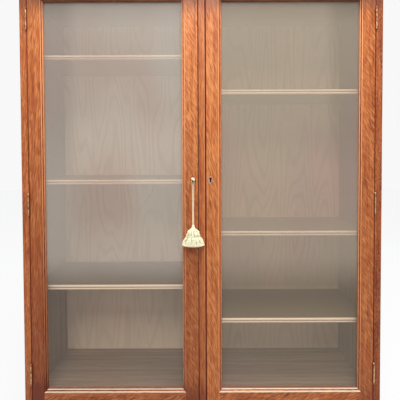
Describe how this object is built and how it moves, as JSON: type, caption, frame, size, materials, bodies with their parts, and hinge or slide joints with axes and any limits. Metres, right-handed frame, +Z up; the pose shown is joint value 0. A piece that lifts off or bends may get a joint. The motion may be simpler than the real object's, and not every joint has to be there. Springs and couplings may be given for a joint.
{
  "type": "glazed bookcase",
  "caption": "Tall oak bookcase with a pair of glazed doors either side of a centre partition, adjustable shelves, butt hinges, locks, key and tassel.",
  "frame": {"origin": "centre of the footprint on the floor, midway across and midway between the top slab's front edge and the case's back edge", "axes": "+X across towards the right door, +Y from the doors to the back, +Z up"},
  "size_m": [1.299, 0.35, 1.639],
  "materials": {
    "oak": "quarter-sawn oak, reddish brown shellac, satin",
    "back_wood": "plain-sawn secondary wood, unpolished",
    "shelf_wood": "pale shelf boards with reeded front edges",
    "glass": "clear old sheet glass, slightly wavy",
    "brass": "aged brass",
    "steel": "dull iron and steel",
    "ivory_cotton": "twisted cotton, ivory"
  },
  "bodies": {
    "case": {"back_base_rail": "back_wood", "back_panel_screws": "steel", "base_moulding_front": "oak", "base_moulding_left": "oak", "base_moulding_right": "oak", "bottom_front_rail": "oak", "case_hinge_leaves": "brass", "case_screws": "steel", "centre_partition": "oak", "cornice_front": "oak", "cornice_left": "oak", "cornice_right": "oak", "floor_board": "oak", "frieze_rail": "oak", "glue_blocks": "back_wood", "hinge_pins": "brass", "keeper_plates": "brass", "left_back_panel": "back_wood", "left_shelf_lower": "shelf_wood", "left_shelf_middle": "shelf_wood", "left_shelf_upper": "shelf_wood", "left_side": "oak", "plinth_front": "oak", "plinth_left": "oak", "plinth_right": "oak", "right_back_panel": "back_wood", "right_shelf_lower": "shelf_wood", "right_shelf_middle": "shelf_wood", "right_shelf_upper": "shelf_wood", "right_side": "oak", "roof_board": "oak", "shelf_pins": "brass", "top_bearer": "oak", "top_slab": "oak"},
    "left_door": {"left_door_bottom_rail": "oak", "left_door_escutcheon": "brass", "left_door_glass": "glass", "left_door_glazing_beads": "oak", "left_door_hinge_leaves": "brass", "left_door_hinge_stile": "oak", "left_door_lock_case": "steel", "left_door_lock_stile": "oak", "left_door_screws": "steel", "left_door_top_rail": "oak"},
    "right_door": {"right_door_bottom_rail": "oak", "right_door_escutcheon": "brass", "right_door_glass": "glass", "right_door_glazing_beads": "oak", "right_door_hinge_leaves": "brass", "right_door_hinge_stile": "oak", "right_door_lock_case": "steel", "right_door_lock_stile": "oak", "right_door_screws": "steel", "right_door_top_rail": "oak"},
    "left_key": {"key": "steel"},
    "left_bolt": {"left_door_lock_bolt": "steel"},
    "right_bolt": {"right_door_lock_bolt": "steel"},
    "tassel": {"key_cord": "ivory_cotton", "key_tassel": "ivory_cotton"}
  },
  "joints": [
    {"name": "left_door_hinge", "type": "hinge", "parent": "case", "child": "left_door", "pos_m": [-0.58675, -0.141, 0.8075], "axis": [0, 0, -1], "range_deg": [0, 170]},
    {"name": "right_door_hinge", "type": "hinge", "parent": "case", "child": "right_door", "pos_m": [0.58675, -0.141, 0.8075], "axis": [0, 0, 1], "range_deg": [0, 170]},
    {"name": "left_key_turn", "type": "hinge", "parent": "left_door", "child": "left_key", "pos_m": [-0.0295, -0.137, 0.8925], "axis": [0, 1, 0], "range_deg": [0, 90]},
    {"name": "left_bolt_slide", "type": "slide", "parent": "left_door", "child": "left_bolt", "axis": [1, 0, 0], "range_m": [0, 0.007]},
    {"name": "right_bolt_slide", "type": "slide", "parent": "right_door", "child": "right_bolt", "axis": [-1, 0, 0], "range_m": [0, 0.007]},
    {"name": "tassel_swing", "type": "hinge", "parent": "left_door", "child": "tassel", "pos_m": [-0.0295, -0.1526, 0.8925], "axis": [0, 1, 0], "range_deg": [-25, 25]}
  ],
  "couplings": [
    {"joint": "left_bolt_slide", "follows": "left_key_turn", "m_per_rad": 0.0044563}
  ]
}
